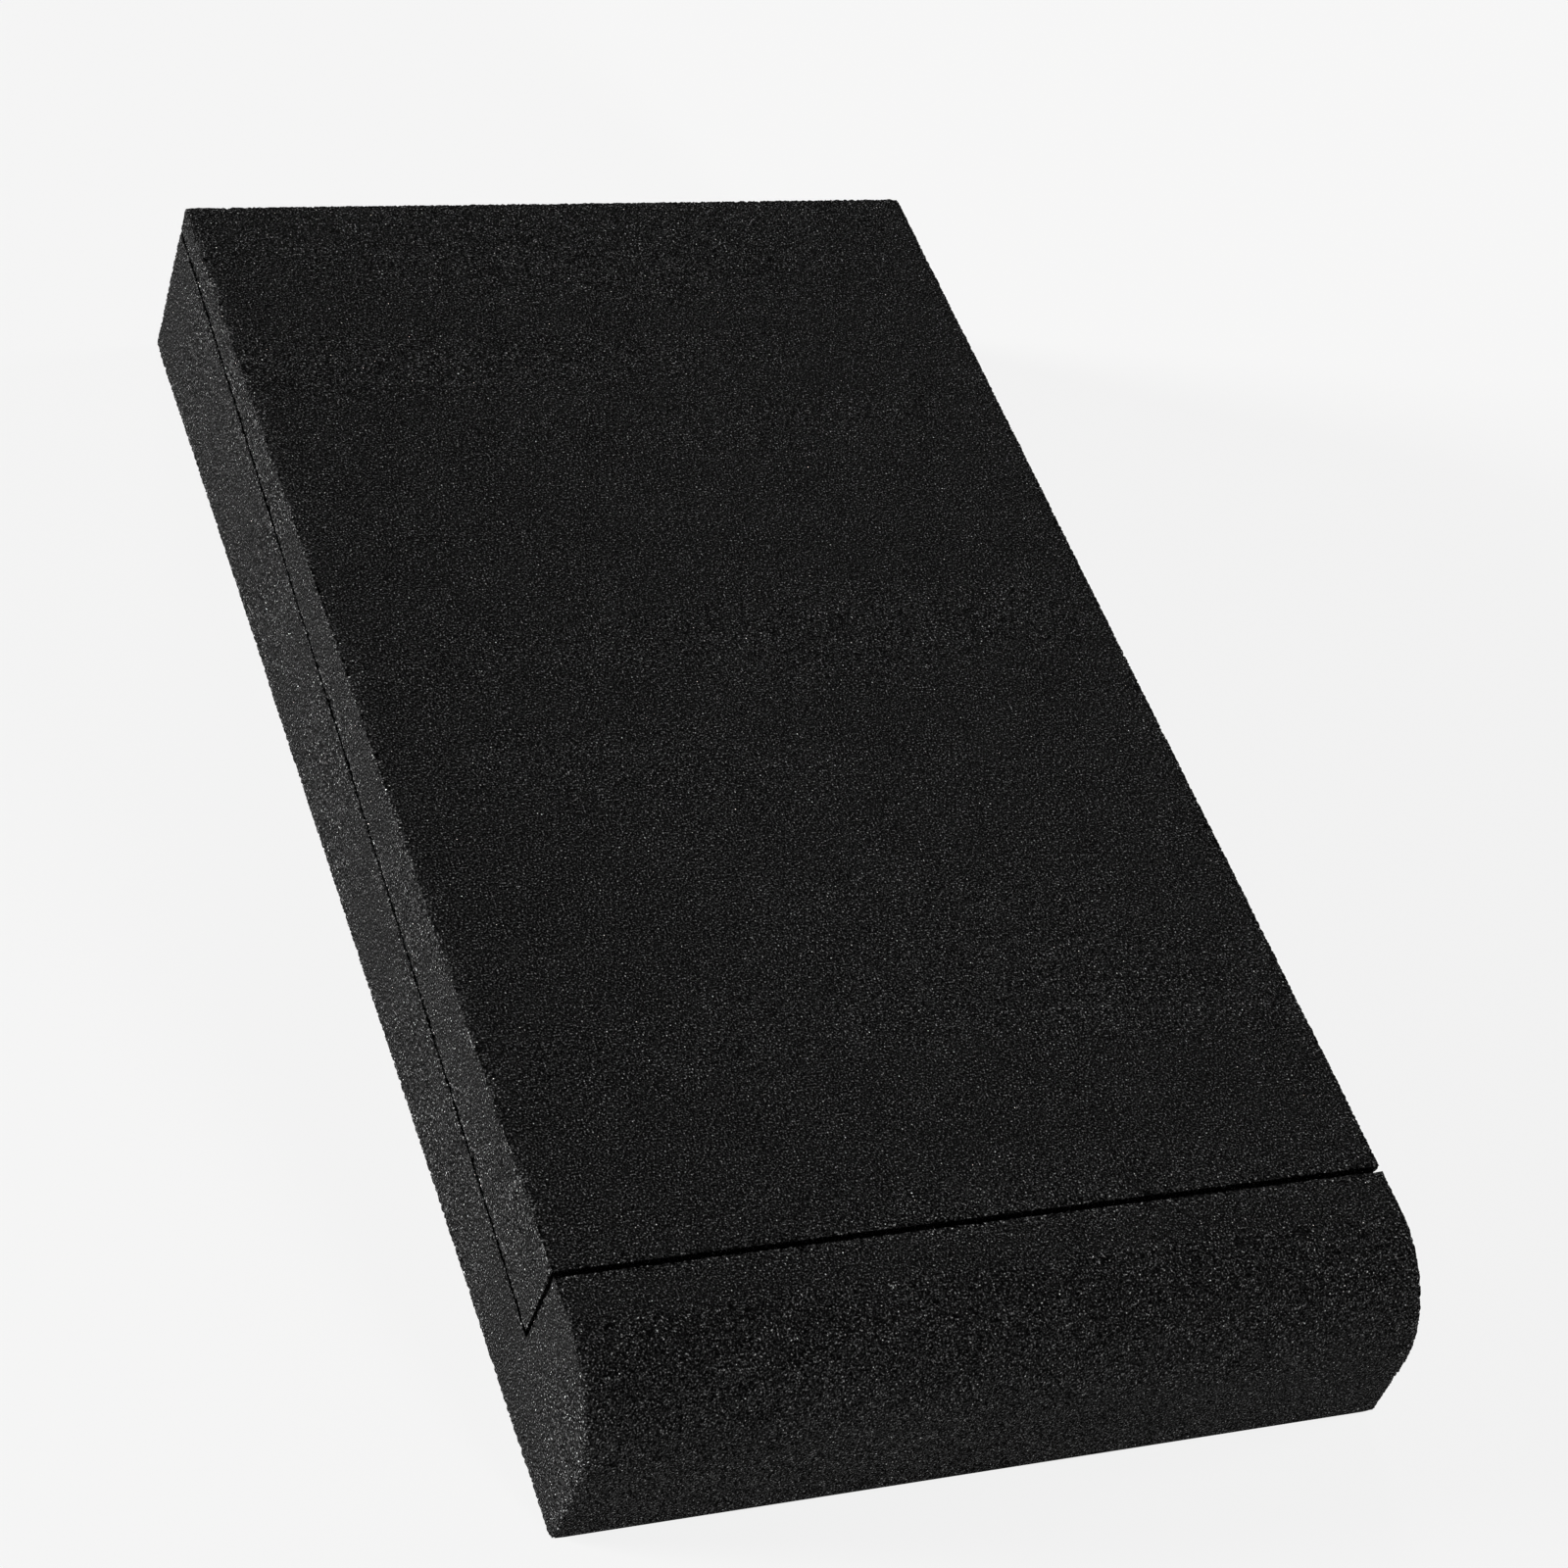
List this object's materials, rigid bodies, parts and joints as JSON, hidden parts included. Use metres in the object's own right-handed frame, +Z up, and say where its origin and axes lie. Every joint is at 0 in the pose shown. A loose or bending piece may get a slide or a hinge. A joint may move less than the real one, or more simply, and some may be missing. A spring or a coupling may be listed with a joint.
{
  "type": "speaker isolation pad",
  "caption": "Foam desk pad for a small monitor speaker: a base with a sloping bed behind a rounded front lip, and a loose wedge insert that levels the top.",
  "frame": {"origin": "centre of the flat underside of the base pad", "axes": "+X across the width, +Y from the front lip to the rear end, +Z up"},
  "size_m": [0.165, 0.3, 0.039],
  "materials": {
    "foam": "matte open-cell polyurethane foam, dyed charcoal black"
  },
  "bodies": {
    "root": {"base_pad": "foam", "wedge_insert": "foam"}
  },
  "joints": []
}
